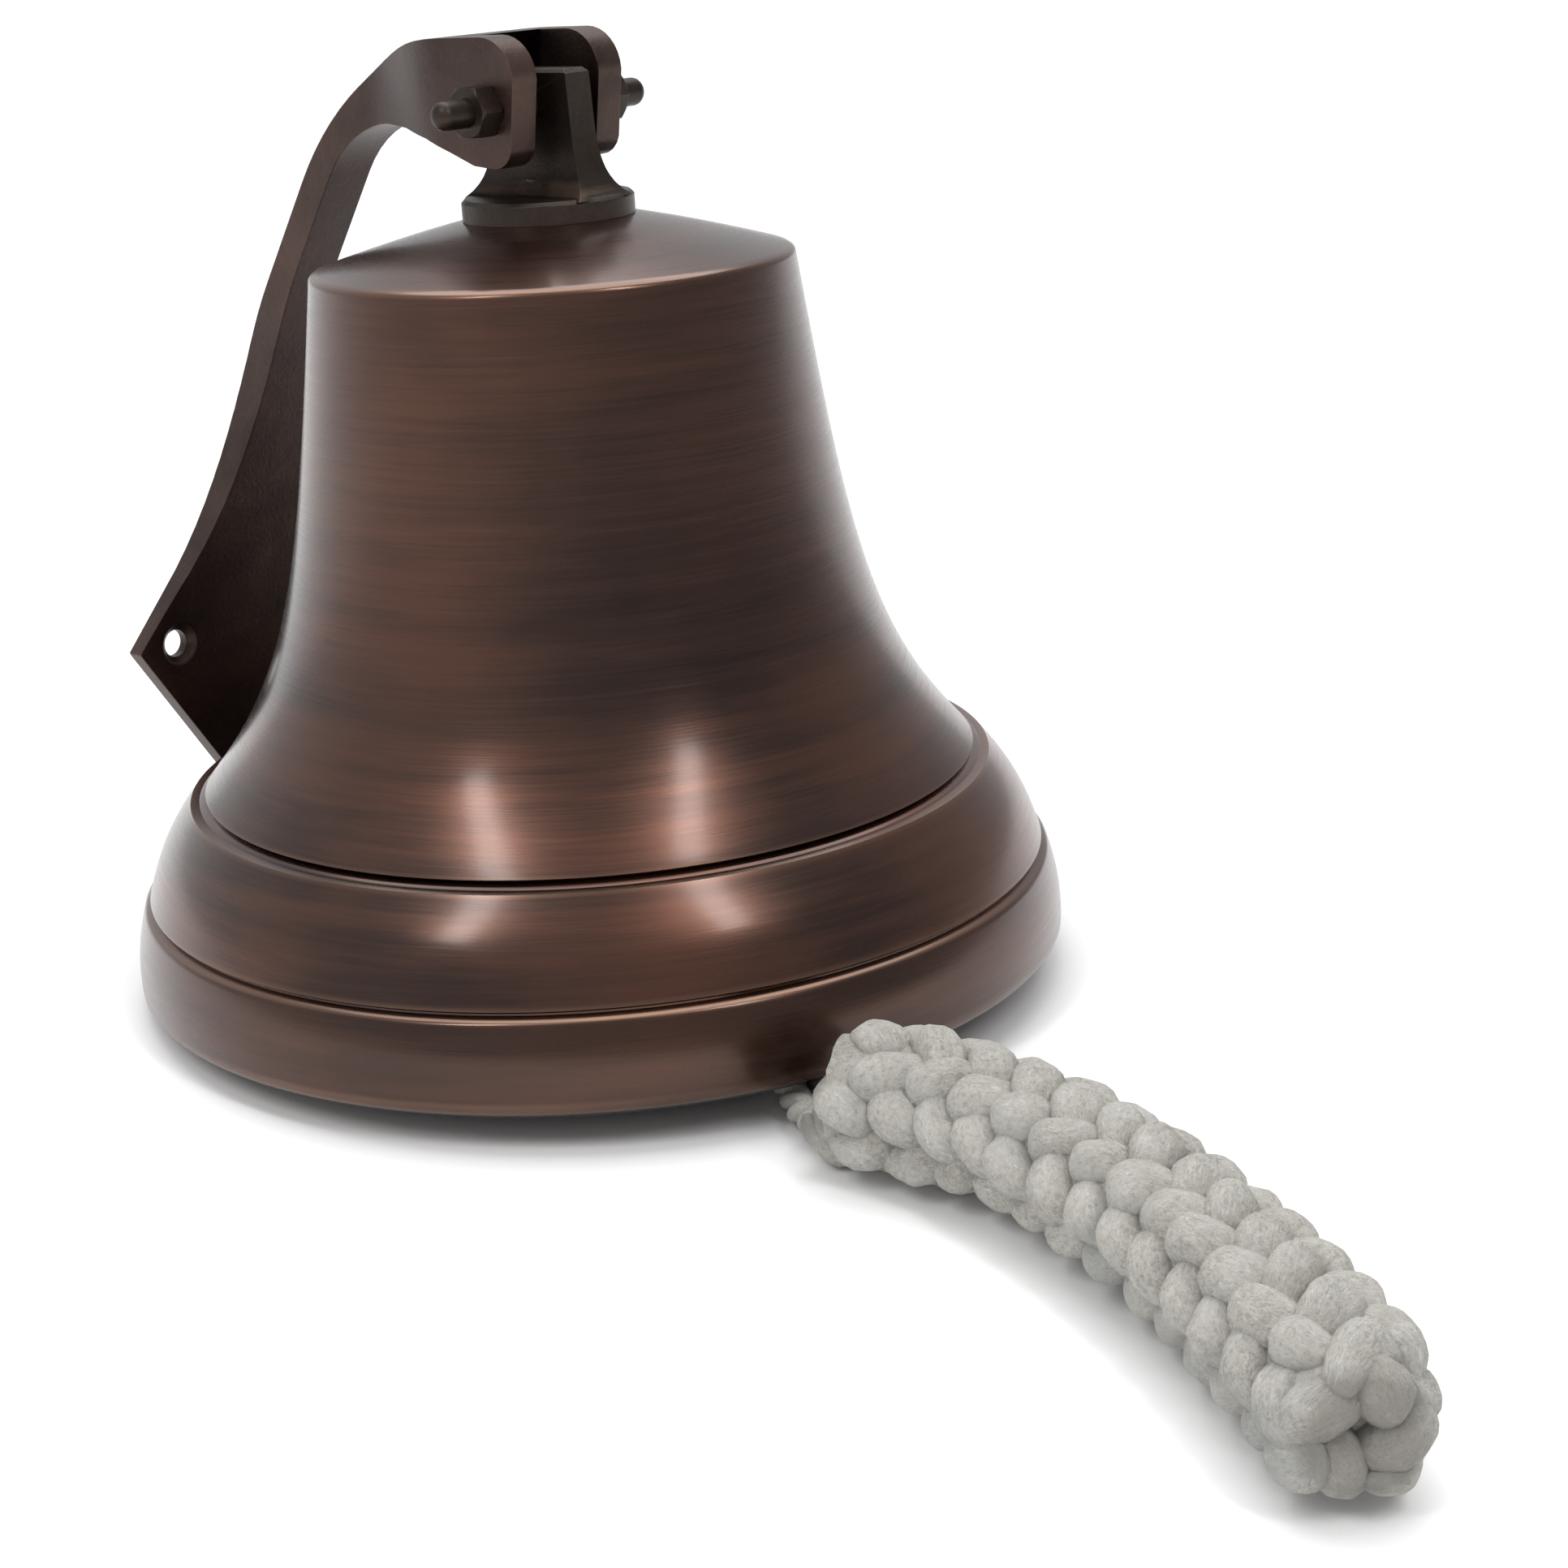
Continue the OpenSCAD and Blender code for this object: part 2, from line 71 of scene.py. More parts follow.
def bell_frame():
    """From the upright bell (millimetres, lip at z = 0) to the leaning one (metres)."""
    place = Matrix.Translation((0, SHIFT_Y * MM, LIFT * MM)) @ Matrix.Rotation(-LEAN, 4, "X")
    return place @ Matrix.Scale(MM, 4)


# --- Camera ---------------------------------------------------------------------------------------
CAMERA_AT = (-0.438, -0.4490, 0.2529)
CAMERA_AZIMUTH = 48.44
CAMERA_PITCH = 18.83
CAMERA_ROLL = -1.58
CAMERA_LENS = 66.95


def make_camera():
    """The camera looks down at the bell from its left front, a little rolled."""
    az, pitch, roll = (math.radians(a) for a in (CAMERA_AZIMUTH, CAMERA_PITCH, CAMERA_ROLL))
    ahead = Vector((math.sin(az) * math.cos(pitch), math.cos(az) * math.cos(pitch), -math.sin(pitch)))
    level = Vector((math.cos(az), -math.sin(az), 0))
    upward = level.cross(ahead)
    right = level * math.cos(roll) + upward * math.sin(roll)
    up = upward * math.cos(roll) - level * math.sin(roll)
    data = bpy.data.cameras.new("camera")
    data.lens = CAMERA_LENS
    data.sensor_width = 36
    data.clip_start = 0.01
    data.clip_end = 50
    cam = bpy.data.objects.new("camera", data)
    axes = Matrix((right, up, -ahead)).transposed().to_4x4()
    cam.matrix_world = Matrix.Translation(CAMERA_AT) @ axes
    scene.collection.objects.link(cam)
    scene.camera = cam


make_camera()

# --- Mesh helpers ---------------------------------------------------------------------------------


def mesh_object(name, verts, faces, smooth=True, sharp_deg=None):
    """A linked object of the given mesh; edges steeper than `sharp_deg` stay sharp."""
    mesh = bpy.data.meshes.new(name)
    mesh.from_pydata([tuple(v) for v in verts], [], faces)
    mesh.validate()
    mesh.update()
    if smooth:
        mesh.shade_smooth()
    if sharp_deg is not None:
        mesh.set_sharp_from_angle(angle=math.radians(sharp_deg))
    obj = bpy.data.objects.new(name, mesh)
    scene.collection.objects.link(obj)
    return obj


def ring_faces(rings, sides, first=0, closed=False):
    """Quads between neighbouring rings of `sides` vertices, numbered from `first`."""
    faces = []
    for i in range(rings if closed else rings - 1):
        a, b = first + i * sides, first + (i + 1) % rings * sides
        for k in range(sides):
            m = (k + 1) % sides
            faces.append((a + k, a + m, b + m, b + k))
    return faces


def closed_tube_faces(rings, sides, first):
    """The same quads, then a flat cap over the first ring and one over the last."""
    caps = [tuple(range(first + sides - 1, first - 1, -1))]
    last = first + (rings - 1) * sides
    caps.append(tuple(range(last, last + sides)))
    return ring_faces(rings, sides, first) + caps


def set_float(mesh, name, values):
    """One number per vertex, for the materials to read."""
    layer = mesh.attributes.new(name, "FLOAT", "POINT")
    layer.data.foreach_set("value", np.asarray(values, np.float32))


# --- Routes of the lanyard, the same points as the CAD --------------------------------------------
SENNIT_R = 14.2
CORD_R = 3.4
# Points (x, y) on the table, from the inner end to the far one.
SENNIT_ROUTE = [
    (-49.5, -114), (-46, -123), (-43.5, -132.5), (-42, -142), (-42.5, -152), (-44, -161.5),
    (-47, -171), (-50, -180.5), (-53.5, -189.5), (-57, -198.5), (-61, -207.5), (-66, -216),
    (-71, -224.5), (-76, -232.5), (-81.5, -241), (-87, -249), (-93.5, -256.5),
]
# Points (x, y, z, half the gap between the two runs), from the sennit to the clapper.
NECK_ROUTE = [
    (-47.5, -119.5, 8, 3.6), (-46, -115.5, 7.4, 3.6), (-44.5, -111.5, 6.6, 3.6),
    (-42, -107.5, 5.4, 3.6), (-39.5, -103.5, 4.3, 3.6), (-36.5, -99.5, 3.6, 3.6),
    (-33.5, -95.5, 3.5, 3.6), (-28, -88, 3.5, 3.6), (-21, -77.5, 3.5, 3.6), (-14, -65, 3.5, 3.8),
    (-8.5, -51.5, 4, 5), (-4, -38.5, 6.5, 8), (-1.5, -28, 9.5, 11), (-0.5, -20, 11.7, 13),
]
# Where the cord turns round in the clapper's tail ring.
TURN_R = 4 * CORD_R
TAIL_RING_R = 6.5
TAIL_WIRE_R = 2.2


def smooth_route(points, step, passes=2):
    """The route as a Catmull-Rom curve with a point every `step`."""
    pts = [np.asarray(p, float) for p in points]
    fine = []
    for i in range(len(pts) - 1):
        p0, p1, p2, p3 = pts[max(i - 1, 0)], pts[i], pts[i + 1], pts[min(i + 2, len(pts) - 1)]
        for t in np.arange(0, 1, 0.05):
            fine.append(0.5 * (2 * p1 + (p2 - p0) * t + (2 * p0 - 5 * p1 + 4 * p2 - p3) * t**2
                               + (3 * p1 - p0 - 3 * p2 + p3) * t**3))
    fine.append(pts[-1])
    fine = np.array(fine)
    along = np.concatenate([[0], np.cumsum(np.linalg.norm(np.diff(fine, axis=0), axis=1))])
    want = np.linspace(0, along[-1], int(along[-1] / step) + 1)
    out = np.stack([np.interp(want, along, fine[:, c]) for c in range(fine.shape[1])], 1)
    for _ in range(passes):
        out[1:-1] = (out[:-2] + 2 * out[1:-1] + out[2:]) / 4
    return out


def route_frames(route):
    """Direction, side and up of each point of a route, with no twist."""
    ahead = np.gradient(route, axis=0)
    ahead /= np.linalg.norm(ahead, axis=1)[:, None]
    side = np.empty_like(ahead)
    s = np.cross(ahead[0], (0, 0, 1))
    for i, d in enumerate(ahead):
        s = s - d * np.dot(s, d)
        s /= np.linalg.norm(s)
        side[i] = s
    return ahead, side, np.cross(side, ahead)


def add_tube(verts, faces, uvs, line, radius, sides):
    """Adds a round tube with closed ends along a line."""
    ahead, side, up = route_frames(line)
    first = len(verts)
    along = np.concatenate([[0], np.cumsum(np.linalg.norm(np.diff(line, axis=0), axis=1))])
    for i, p in enumerate(line):
        for k in range(sides):
            a = 2 * math.pi * k / sides
            verts.append(p + radius * (math.cos(a) * side[i] + math.sin(a) * up[i]))
            uvs.append((along[i], k / sides))
    faces += closed_tube_faces(len(line), sides, first)


# --- The braided sennit ---------------------------------------------------------------------------
# Knuckles of yarn in columns round a core. Neighbouring columns lean opposite ways and are staggered,
# and every knuckle dips at its two ends, where it passes under the next ones. Sizes are in millimetres.
COLUMNS = 8
KNUCKLE_GAP = 11.8
KNUCKLE_HALF = (8.4, 4.8, 4.7)
KNUCKLE_DIP = 3.6
SENNIT_LIFT = 1.5
OUTER_R = 15.7
KNUCKLE_RING = OUTER_R - KNUCKLE_HALF[2]
CORE_R = 10.8
LEANS = (math.radians(40), math.radians(-26))
FIRST_KNUCKLE = 3.2
LAST_KNUCKLE_GAP = 1.5
# Near an end the knuckles sink towards the core.
TUCK_REACH = 7.0
TUCK_DEPTH = 2.0
# The inner end is cut on the skew: its top starts this much further along than its underside.
INNER_SKEW = 7.0
# The knuckles that turn in over an end.
END_KNUCKLES = 4
END_HALF = (8.0, 5.0, 4.2)
END_SPOKE = 6.6
END_OUT = -0.4
END_RING = 9.0
END_LEAN = 0.4
END_TURN = 0.45
END_DIP = 3.0
# How high above the middle line the crevices end and the tops of the knuckles begin, for the painted shade
# in the crevices.
CREVICE_R = 9.5
CREVICE_SPAN = 5.2


def add_knuckle(verts, faces, uvs, at, axes, half, ring, lean, dip):
    """A bent ellipsoid of yarn; axes are its long, cross and outward directions."""
    rings, sides = 15, 20
    fullness, dip_shape = 0.36, 2.4
    first = len(verts)
    long_way, cross_way, outward = axes
    for i in range(rings):
        t = -math.cos(math.pi * (i + 0.5) / rings)
        fat = (1 - t * t) ** fullness
        for k in range(sides):
            a = 2 * math.pi * k / sides
            u, v = half[0] * t, half[1] * fat * math.cos(a)
            w = half[2] * fat * math.sin(a)
            round_way = u * math.sin(lean) + v * math.cos(lean)
            w -= round_way * round_way / (2 * ring) + dip * abs(t) ** dip_shape
            verts.append(at + long_way * u + cross_way * v + outward * w)
            uvs.append((u + 3.1 * first, k / sides))
    faces += closed_tube_faces(rings, sides, first)


def skew_at(angle):
    """How much later than its underside the inner end starts at this angle round the sennit."""
    return INNER_SKEW * (0.5 + 0.5 * math.sin(angle))


def add_braid(verts, faces, uvs, route, step):
    """The columns of knuckles along the sennit, each knuckle a little uneven."""
    ahead, side, up = route_frames(route)
    length = step * (len(route) - 1)
    rng = random.Random(4)
    for column in range(COLUMNS):
        lean = LEANS[column % 2]
        around = 2 * math.pi * column / COLUMNS + 0.10
        s = FIRST_KNUCKLE + (0.5 * KNUCKLE_GAP if column % 2 else 0.0) + skew_at(around)
        while s < length - LAST_KNUCKLE_GAP:
            i = min(len(route) - 1, int(round(s / step)))
            a = around + rng.uniform(-0.07, 0.07)
            out = math.cos(a) * side[i] + math.sin(a) * up[i]
            round_way = np.cross(ahead[i], out)
            tilt = lean + rng.uniform(-0.16, 0.16)
            long_way = math.cos(tilt) * ahead[i] + math.sin(tilt) * round_way
            cross_way = -math.sin(tilt) * ahead[i] + math.cos(tilt) * round_way
            near_end = min(s - skew_at(a), length - s)
            tuck = max(0.0, 1 - near_end / TUCK_REACH) ** 2 * TUCK_DEPTH
            half = [h * rng.uniform(0.90, 1.10) for h in KNUCKLE_HALF]
            at = route[i] + out * (KNUCKLE_RING - tuck + rng.uniform(-0.5, 0.4))
            axes = (long_way, cross_way, out)
            add_knuckle(verts, faces, uvs, at, axes, half, OUTER_R, tilt, KNUCKLE_DIP)
            s += KNUCKLE_GAP * rng.uniform(0.97, 1.03)


def add_end(verts, faces, uvs, route, start):
    """The knuckles that turn in over one end, round a small middle hole."""
    ahead, side, up = route_frames(route)
    if start:
        at = route[int(INNER_SKEW / 2)]
        out = -ahead[0] * math.cos(0.35) + up[0] * math.sin(0.35)
        across, over = side[0], np.cross(out, side[0])
    else:
        at, out, across, over = route[-1], ahead[-1], side[-1], up[-1]
    for k in range(END_KNUCKLES):
        a = 2 * math.pi * k / END_KNUCKLES + 0.5
        spoke = math.cos(a) * across + math.sin(a) * over
        around = -math.sin(a) * across + math.cos(a) * over
        long_way = math.cos(END_TURN) * around - math.sin(END_TURN) * spoke
        cross_way = np.cross(out, long_way)
        centre = at + spoke * END_SPOKE + out * END_OUT
        axes = (long_way, cross_way, out)
        add_knuckle(verts, faces, uvs, centre, axes, END_HALF, END_RING, END_LEAN, END_DIP)


def set_yarn(obj, uvs, height):
    """Where each vertex lies along and round its strand, and how high above the crevices, for the painted
    crevice shade.
    """
    set_float(obj.data, "along", [u for u, _ in uvs])
    set_float(obj.data, "across", [math.cos(2 * math.pi * v) for _, v in uvs])
    set_float(obj.data, "over", [math.sin(2 * math.pi * v) for _, v in uvs])
    set_float(obj.data, "height", height)


def roughen(verts, seed, amount):
    """Small uneven swellings, so that no two knuckles are alike."""
    noise.seed_set(seed)
    out = []
    for v in verts:
        n = noise.noise_vector(Vector(v) * 0.16 + Vector((seed, 0, 0))) * amount
        f = noise.noise_vector(Vector(v) * 0.75 + Vector((0, seed, 0))) * amount * 0.35
        out.append(Vector(v) + n + f)
    return out


def make_sennit():
    """The braided lanyard and its middle line, both in metres."""
    step = 1.0
    route = np.array([(x, y, SENNIT_R + 0.1) for x, y in SENNIT_ROUTE], float)
    fine = smooth_route(route, step)
    raised = fine + np.array((0, 0, SENNIT_LIFT))
    verts, faces, uvs = [], [], []
    add_tube(verts, faces, uvs, raised[2:-2], CORE_R, 40)
    add_braid(verts, faces, uvs, raised, step)
    add_end(verts, faces, uvs, raised, start=False)
    add_end(verts, faces, uvs, raised, start=True)
    verts = np.array([tuple(v) for v in roughen(verts, 3, 0.75)])
    gap = np.array([np.linalg.norm(raised - v, axis=1).min() for v in verts])
    # The underside is pressed flat on the surface it lies on.
    verts[:, 2] = np.maximum(verts[:, 2], 0.1)
    obj = mesh_object("sennit", verts * MM, faces)
    set_yarn(obj, uvs, np.clip((gap - CREVICE_R) / CREVICE_SPAN, 0, 1))
    return obj, fine * MM


def loop_route():
    """Middle line of the doubled cord: under the rim, through the clapper's eye and back."""
    low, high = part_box("clapper_eye")
    eye = Vector((0, (low.y + high.y) / 2 / MM, low.z / MM + TAIL_RING_R + TAIL_WIRE_R))
    centre = np.array((0, eye.y - TURN_R, eye.z))
    runs = {1: [], -1: []}
    for i, (x, y, z, half) in enumerate(NECK_ROUTE):
        a, b = NECK_ROUTE[max(i - 1, 0)], NECK_ROUTE[min(i + 1, len(NECK_ROUTE) - 1)]
        d = np.array((b[0] - a[0], b[1] - a[1]), float)
        d /= np.linalg.norm(d)
        for run in runs:
            runs[run].append(np.array((x + run * half * d[1], y - run * half * d[0], z)))
    turn = [centre + TURN_R * np.array((math.cos(a), math.sin(a), 0)) for a in np.linspace(0, math.pi, 9)]
    return runs[1] + turn + runs[-1][::-1]


# The cord is laid from three plies, one turn every PLY_LAY millimetres.
PLIES = 3
PLY_R = 1.75
PLY_LAY = 22.0
# The material treats the cord as standing this far out of the crevices, so it gets none of the painted
# crevice shade.
CORD_HEIGHT = 0.6


def make_loop():
    """The doubled cord and its middle line, both in metres."""
    step = 1.2
    fine = smooth_route(loop_route(), step)
    ahead, side, up = route_frames(fine)
    verts, faces, uvs = [], [], []
    for ply in range(PLIES):
        line = []
        for i, p in enumerate(fine):
            a = 2 * math.pi * (i * step / PLY_LAY + ply / PLIES)
            line.append(p + (CORD_R - PLY_R) * (math.cos(a) * side[i] + math.sin(a) * up[i]))
        add_tube(verts, faces, uvs, np.array(line), PLY_R, 10)
    obj = mesh_object("lanyard_cord", np.array(verts) * MM, faces)
    set_yarn(obj, uvs, [CORD_HEIGHT] * len(verts))
    return obj, fine * MM


sennit, sennit_line = make_sennit()
loop, loop_line = make_loop()

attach(sennit, "bell")
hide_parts("lanyard_sennit")
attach(loop, "bell")
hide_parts("lanyard_loop")

# --- Node helpers for materials -------------------------------------------------------------------


class Nodes:
    """Short names for making a material's nodes."""

    def __init__(self, name):
        self.mat = bpy.data.materials.new(name)
        self.mat.use_nodes = True
        self.tree = self.mat.node_tree
        self.shader = self.tree.nodes["Principled BSDF"]

    def add(self, kind, values=None, **settings):
        n = self.tree.nodes.new("ShaderNode" + kind)
        for key, value in settings.items():
            setattr(n, key, value)
        for key, value in (values or {}).items():
            if isinstance(value, bpy.types.NodeSocket):
                self.tree.links.new(value, n.inputs[key])
            else:
                n.inputs[key].default_value = value
        return n

    def attribute(self, name):
        return self.add("Attribute", attribute_name=name, attribute_type="GEOMETRY").outputs["Fac"]

    def math(self, op, a, b=0.0, clamp=False):
        return self.add("Math", {0: a, 1: b}, operation=op, use_clamp=clamp).outputs[0]

    def noise(self, vector, scale, detail=3.0, rough=0.6, distort=0.0):
        n = self.add("TexNoise", {"Vector": vector, "Scale": scale, "Detail": detail,
                                  "Roughness": rough, "Distortion": distort})
        return n.outputs["Fac"]

    def between(self, value, low, high, out_low=0.0, out_high=1.0):
        n = self.add("MapRange", {"Value": value, "From Min": low, "From Max": high,
                                  "To Min": out_low, "To Max": out_high})
        return n.outputs["Result"]

    def ramp(self, value, stops):
        n = self.add("ValToRGB", {"Fac": value})
        while len(n.color_ramp.elements) < len(stops):
            n.color_ramp.elements.new(0.5)
        for e, (at, colour) in zip(n.color_ramp.elements, stops):
            e.position = at
            e.color = (*colour, 1)
        return n.outputs["Color"]

    def mix(self, factor, a, b, blend="MIX"):
        n = self.add("Mix", data_type="RGBA", blend_type=blend)
        for socket, value in ((n.inputs[0], factor), (n.inputs[6], a), (n.inputs[7], b)):
            if isinstance(value, bpy.types.NodeSocket):
                self.tree.links.new(value, socket)
            else:
                socket.default_value = (*value, 1) if hasattr(value, "__len__") else value
        return n.outputs[2]

    def combine(self, x, y, z=0.0):
        return self.add("CombineXYZ", {0: x, 1: y, 2: z}).outputs[0]

    def set(self, **values):
        for key, value in values.items():
            socket = self.shader.inputs[key.replace("_", " ")]
            if isinstance(value, bpy.types.NodeSocket):
                self.tree.links.new(value, socket)
            else:
                socket.default_value = value

    def bump(self, height, strength, distance):
        n = self.add("Bump", {"Height": height, "Strength": strength, "Distance": distance})
        self.tree.links.new(n.outputs[0], self.shader.inputs["Normal"])


# --- Materials ------------------------------------------------------------------------------------


def spun_copper():
    """Lathe-turned copper with an antique finish: rings round the bell's own axis."""
    n = Nodes("spun_copper")
    at = n.add("TexCoord").outputs["Object"]
    # A point mapping takes the lift and the lean off, so that Z is the bell's own axis.
    stand = (0, -SHIFT_Y * MM, -LIFT * MM)
    upright = n.add("Mapping", {"Vector": at, "Location": stand}, vector_type="POINT")
    upright = n.add("Mapping", {"Vector": upright.outputs[0], "Rotation": (LEAN, 0, 0)}, vector_type="POINT")
    part = n.add("SeparateXYZ", {0: upright.outputs[0]}).outputs
    squares = n.math("ADD", n.math("MULTIPLY", part[0], part[0]), n.math("MULTIPLY", part[1], part[1]))
    reach = n.math("SUBTRACT", part[2], n.math("SQRT", squares))
    # Rings: fine along the profile, long round the bell.
    hair = n.combine(n.math("MULTIPLY", part[0], 0.02), n.math("MULTIPLY", part[1], 0.02), reach)
    band = n.combine(n.math("MULTIPLY", part[0], 0.10), n.math("MULTIPLY", part[1], 0.10), reach)
    fine = n.noise(hair, 1400, 3, 0.65)
    broad = n.noise(band, 95, 4, 0.6)
    cloud = n.noise(upright.outputs[0], 13, 3, 0.5, 0.2)
    wear = n.attribute("wear")
    tone = n.math("ADD", n.math("MULTIPLY", fine, 0.18),
                  n.math("ADD", n.math("MULTIPLY", broad, 0.26), n.math("MULTIPLY", cloud, 0.56)))
    colour = n.ramp(tone, [(0.36, (0.033, 0.018, 0.014)), (0.50, (0.066, 0.032, 0.023)),
                           (0.64, (0.112, 0.049, 0.032))])
    # Redder where the finish was rubbed back round the flare and the bands, browner near the top.
    low = n.between(part[2], 0.115, 0.055)
    rubbed = n.math("MULTIPLY", low, n.between(n.math("ADD", cloud, broad), 0.85, 1.2), clamp=True)
    colour = n.mix(n.math("MULTIPLY", rubbed, 0.7), colour, (0.125, 0.050, 0.031))
    # Painted shade: the rim band is darkened to the darkest part of the copper, so that it reflects less of
    # the bright floor in front of it.
    colour = n.mix(n.between(part[2], 0.024, 0.020, 0.0, 0.55), colour, (0.030, 0.014, 0.010))
    worn = n.math("MULTIPLY", wear, n.between(broad, 0.35, 0.6, 0.35, 1.0), clamp=True)
    colour = n.mix(worn, colour, (0.17, 0.095, 0.062))
    n.set(Base_Color=colour, Metallic=0.9, Anisotropic=0.3)
    n.set(Roughness=n.between(n.math("ADD", fine, cloud), 0.6, 1.4, 0.22, 0.34))
    n.set(Coat_Weight=0.5, Coat_Roughness=0.16, Coat_IOR=1.45)
    n.bump(n.math("ADD", fine, broad), 0.18, 0.0001)
    return n.mat


def cast_metal(name, dark, middle, bright):
    """Rough-cast, darkened metal, a little brighter where its edges are rubbed."""
    n = Nodes(name)
    at = n.add("TexCoord").outputs["Object"]
    cloud = n.noise(at, 38, 5, 0.62, 0.4)
    pits = n.noise(at, 1040, 4, 0.7)
    point = n.add("NewGeometry").outputs["Pointiness"]
    edge = n.between(point, 0.52, 0.60)
    tone = n.math("ADD", n.math("MULTIPLY", cloud, 0.7), n.math("MULTIPLY", pits, 0.3))
    colour = n.ramp(tone, [(0.33, dark), (0.52, middle), (0.72, bright)])
    colour = n.mix(n.math("MULTIPLY", edge, n.between(cloud, 0.35, 0.65, 0.25, 0.9), clamp=True), colour,
                   tuple(min(1.0, 1.9 * c) for c in bright))
    n.set(Base_Color=colour, Metallic=0.9)
    n.set(Roughness=n.between(cloud, 0.3, 0.7, 0.34, 0.52))
    n.set(Coat_Weight=0.15, Coat_Roughness=0.3)
    n.bump(n.math("ADD", n.math("MULTIPLY", pits, 0.5), cloud), 0.35, 0.0006)
    return n.mat


def cotton():
    """Cotton yarn: fibres along each strand, painted shade in the crevices, with stains."""
    n = Nodes("cotton")
    at = n.add("TexCoord").outputs["Object"]
    along, across, over, height = (n.attribute(name) for name in ("along", "across", "over", "height"))
    # Fibres: long along the strand, fine round it, with the slight lay of the yarn.
    yarn = n.combine(n.math("MULTIPLY", along, 0.22), n.math("MULTIPLY", across, 3.0),
                     n.math("MULTIPLY", over, 3.0))
    fibre = n.noise(yarn, 2.2, 5, 0.8, 2.2)
    fuzz = n.noise(at, 900, 4, 0.8)
    cloud = n.noise(at, 70, 4, 0.65)
    stain = n.noise(at, 34, 3, 0.5)
    tone = n.math("ADD", n.math("MULTIPLY", fibre, 0.42),
                  n.math("ADD", n.math("MULTIPLY", fuzz, 0.34), n.math("MULTIPLY", cloud, 0.24)))
    colour = n.ramp(tone, [(0.42, (0.50, 0.46, 0.375)), (0.49, (0.83, 0.79, 0.69)),
                           (0.56, (0.97, 0.94, 0.85))])
    colour = n.mix(n.between(stain, 0.58, 0.70, 0, 0.45), colour, (0.34, 0.38, 0.37))
    colour = n.mix(n.between(cloud, 0.60, 0.74, 0, 0.4), colour, (0.50, 0.41, 0.34))
    # Painted shade: darker grey-brown down in the crevices between the knuckles, set by the height
    # attribute.
    colour = n.mix(n.between(height, 0.50, 0.02, 0.0, 0.7), colour, (0.27, 0.23, 0.18))
    n.set(Base_Color=colour, Roughness=0.95, Specular_IOR_Level=0.15)
    n.set(Sheen_Weight=0.6, Sheen_Roughness=0.5)
    n.bump(n.math("ADD", n.math("MULTIPLY", fibre, 1.0), n.math("MULTIPLY", fuzz, 0.9)), 1.0, 0.0016)
    return n.mat


def floor_white():
    """Plain near-white card."""
    n = Nodes("floor_white")
    at = n.add("TexCoord").outputs["Object"]
    colour = n.ramp(n.noise(at, 3, 2, 0.5), [(0.3, (0.90, 0.90, 0.90)), (0.7, (0.93, 0.93, 0.93))])
    n.set(Base_Color=colour, Roughness=0.9, Specular_IOR_Level=0.1)
    return n.mat


SPUN = spun_copper()
BRACKET_COPPER = cast_metal("bracket_copper", (0.022, 0.0135, 0.011), (0.042, 0.026, 0.021),
                            (0.075, 0.044, 0.034))
DARK_BRONZE = cast_metal("dark_bronze", (0.014, 0.011, 0.009), (0.030, 0.021, 0.016), (0.060, 0.040, 0.029))
CLAPPER_BRASS = cast_metal("clapper_brass", (0.16, 0.10, 0.045), (0.30, 0.20, 0.09), (0.45, 0.32, 0.16))
COTTON = cotton()

# --- Bell shell: the turned profile ---------------------------------------------------------------
# Millimetres, upright, with the lip at z = 0.
RIM_R = 104.0
SHOULDER_Z, SHOULDER_R = 155.6, 51.8
LOW_GROOVE_Z, HIGH_GROOVE_Z = 22.0, 44.0
GROOVE_DEPTH = 1.8
MID_HIGH_R = 89.2
MID_BULGE = 1.3
BELL_SIDES = 288
CROWN_Z = 164.5
SEAT_R = 18.8
WALL_T = 4.5
TAPER = 0.129
FLARE_R = 20.3
FLARE_H = 23.5
DOME_BOW = 1.35
IN_TOP_Z = 152.0
LIP_EDGE = 0.8
CROWN_HOLE_R = 5.1


def waist_r(z):
    """The waist: a straight taper with a flare that dies away upwards."""
    flare = FLARE_R * math.exp(-(((z - HIGH_GROOVE_Z) / FLARE_H) ** 1.1))
    return SHOULDER_R + TAPER * (SHOULDER_Z - z) + flare


def band_r(z):
    """The rim band, slightly rounded."""
    return RIM_R + 0.2 - 0.012 * (z - 6) ** 2


def in_r(z):
    """The inside of the wall."""
    return SHOULDER_R - WALL_T + TAPER * (SHOULDER_Z - z) + 25.4 * math.exp(-((z / 60) ** 2.9))


def dome_z(r):
    """The domed crown, from the shoulder up to the hanger's seat."""
    full = 1 - (SEAT_R / SHOULDER_R) ** DOME_BOW
    return SHOULDER_Z + (CROWN_Z - SHOULDER_Z) * (1 - (r / SHOULDER_R) ** DOME_BOW) / full


def mid_band(t):
    """The bulging band between the two grooves, from t = 0 at the lower one to 1."""
    low = np.array((band_r(LOW_GROOVE_Z) - 0.9, LOW_GROOVE_Z + 0.9))
    high = np.array((MID_HIGH_R, HIGH_GROOVE_Z - 0.8))
    return low + (high - low) * t + MID_BULGE * math.sin(math.pi * t) * np.array((0.87, 0.5))


